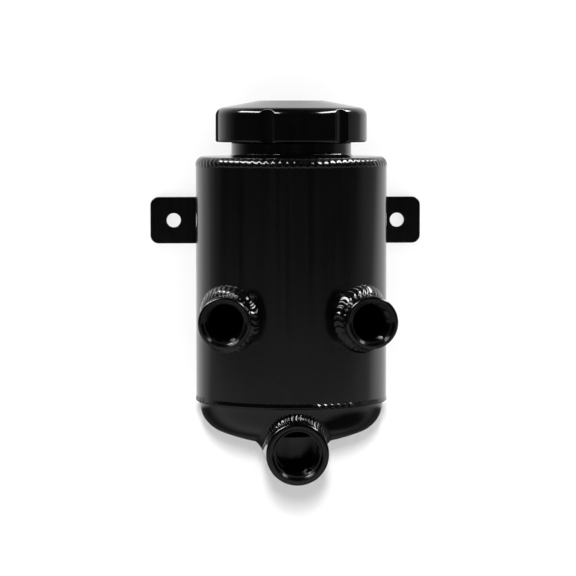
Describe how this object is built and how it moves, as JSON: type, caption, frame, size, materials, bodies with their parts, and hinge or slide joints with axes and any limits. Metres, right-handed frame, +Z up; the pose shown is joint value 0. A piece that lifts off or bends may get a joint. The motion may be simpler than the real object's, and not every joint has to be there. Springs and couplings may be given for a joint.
{
  "type": "hydraulic reservoir",
  "caption": "Black welded aluminium fluid reservoir: upright cylindrical tank with a scalloped screw cap, forward ports low on the wall, a bottom outlet and a rear mounting strap.",
  "frame": {"origin": "midway between the two mounting holes, on the rear face of the strap", "axes": "+Z up along the tank, +Y into the wall that the strap is bolted to, so the ports face -Y"},
  "size_m": [0.1304, 0.1022, 0.1737],
  "materials": {
    "black_coat": "gloss black powder coat on aluminium",
    "weld_coat": "gloss black coat over rippled weld beads",
    "cap_coat": "satin black anodised billet",
    "bare_aluminium": "bare machined or sheared aluminium",
    "stainless_sheet": "brushed stainless sheet",
    "spring_steel": "drawn spring steel",
    "nitrile": "matt black nitrile rubber"
  },
  "bodies": {
    "root": {"tank_tube": "black_coat", "top_plate": "black_coat", "bottom_dish": "black_coat", "filler_neck": "black_coat", "mounting_strap": "black_coat", "return_port_left": "black_coat", "return_port_right": "black_coat", "outlet_port": "black_coat", "top_seam_weld": "weld_coat", "bottom_seam_weld": "weld_coat", "neck_weld": "weld_coat", "return_weld_left": "weld_coat", "return_weld_right": "weld_coat", "outlet_weld": "weld_coat", "strap_welds": "weld_coat", "baffle_plate": "bare_aluminium", "baffle_tacks": "bare_aluminium", "neck_strainer": "stainless_sheet", "strainer_ring": "spring_steel"},
    "gasket": {"cap_gasket": "nitrile"},
    "cap": {"cap_shell": "cap_coat", "vent_cage": "bare_aluminium", "vent_spring": "spring_steel"},
    "vent": {"vent_disc": "nitrile"}
  },
  "joints": [
    {"name": "cap_rise", "type": "slide", "parent": "root", "child": "gasket", "axis": [0, 0, 1], "range_m": [0, 0.01801]},
    {"name": "cap_turn", "type": "hinge", "parent": "gasket", "child": "cap", "pos_m": [0, -0.04765, 0.045], "axis": [0, 0, 1], "range_deg": [0, 1080]},
    {"name": "vent_lift", "type": "slide", "parent": "cap", "child": "vent", "axis": [0, 0, 1], "range_m": [0, 0.0015], "stiffness_N_per_m": 40, "springref_m": -0.001, "deforming": ["vent_spring"]}
  ],
  "couplings": [
    {"joint": "cap_rise", "follows": "cap_turn", "m_per_rad": 0.00095493}
  ]
}
